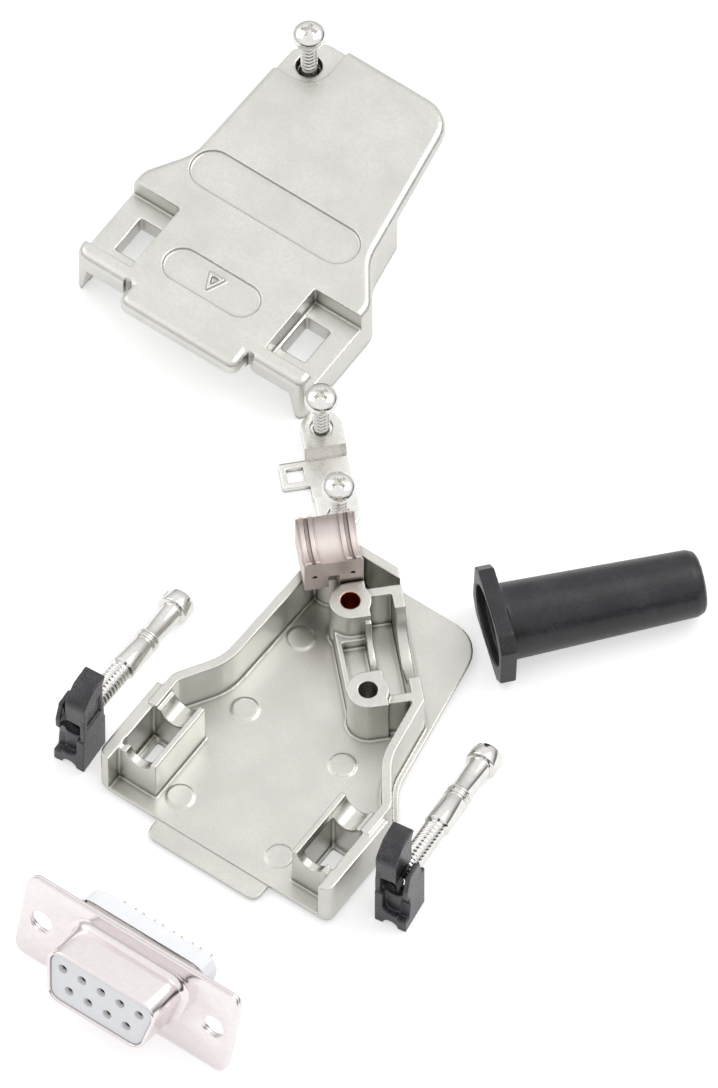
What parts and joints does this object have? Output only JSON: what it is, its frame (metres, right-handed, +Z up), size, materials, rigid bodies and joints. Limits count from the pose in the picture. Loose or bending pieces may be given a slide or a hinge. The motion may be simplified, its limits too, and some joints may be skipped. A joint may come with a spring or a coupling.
{
  "type": "d-sub hood",
  "caption": "Die-cast connector hood with an angled cable exit, unpacked: shells, cable clamp, captive jackscrews in clips, grommet and a solder-cup connector.",
  "frame": {"origin": "on the base shell's underside, in the middle of the mouth", "axes": "+Z up from the bench; +X across the mouth to the side of the cable exit; +Y from the mouth to the rear of the hood"},
  "size_m": [0.0898, 0.1281, 0.0151],
  "materials": {
    "satin_casting": "nickel-plated zinc die casting, satin",
    "bare_casting": "matt zinc casting",
    "bright_nickel": "bright nickel plate",
    "tin_plate": "smooth tin plate",
    "contact_plating": "tin-plated turned contacts",
    "black_nylon": "moulded nylon",
    "black_rubber": "matt moulded rubber",
    "white_polyester": "moulded polyester"
  },
  "bodies": {
    "kit": {"base_shell": "satin_casting", "cover_shell": "satin_casting", "clamp_bracket": "bright_nickel", "clamp_jaw": "bare_casting", "jackscrew_clip_left": "black_nylon", "jackscrew_clip_right": "black_nylon", "cable_grommet": "black_rubber", "connector_front_shell": "tin_plate", "connector_rear_flange": "tin_plate", "connector_front_insulator": "white_polyester", "connector_rear_insulator": "white_polyester", "contact_1": "contact_plating", "contact_2": "contact_plating", "contact_3": "contact_plating", "contact_4": "contact_plating", "contact_5": "contact_plating", "contact_6": "contact_plating", "contact_7": "contact_plating", "contact_8": "contact_plating", "contact_9": "contact_plating"},
    "cover_screw": {"cover_screw": "bright_nickel"},
    "clamp_screw_front": {"clamp_screw_front": "bright_nickel"},
    "clamp_screw_rear": {"clamp_screw_rear": "bright_nickel"},
    "jackscrew_left": {"jackscrew_left": "bright_nickel"},
    "jackscrew_right": {"jackscrew_right": "bright_nickel"}
  },
  "joints": [
    {"name": "cover_screw_turn", "type": "hinge", "parent": "kit", "child": "cover_screw", "pos_m": [-0.0535, 0.0949, 0.005], "axis": [0, 0, 1], "continuous": true},
    {"name": "clamp_screw_front_turn", "type": "hinge", "parent": "kit", "child": "clamp_screw_front", "pos_m": [-0.01481, 0.04671, 0.003], "axis": [0, 0, 1], "continuous": true},
    {"name": "clamp_screw_rear_turn", "type": "hinge", "parent": "kit", "child": "clamp_screw_rear", "pos_m": [-0.02379, 0.05569, 0.003], "axis": [0, 0, 1], "continuous": true},
    {"name": "jackscrew_left_turn", "type": "hinge", "parent": "kit", "child": "jackscrew_left", "pos_m": [-0.0216, 0.003, 0.0072], "axis": [-0.0681, 0.9733, -0.2191], "continuous": true},
    {"name": "jackscrew_right_turn", "type": "hinge", "parent": "kit", "child": "jackscrew_right", "pos_m": [0.0224, 0.0068, 0.0072], "axis": [-0.1358, 0.9662, -0.2191], "continuous": true}
  ]
}
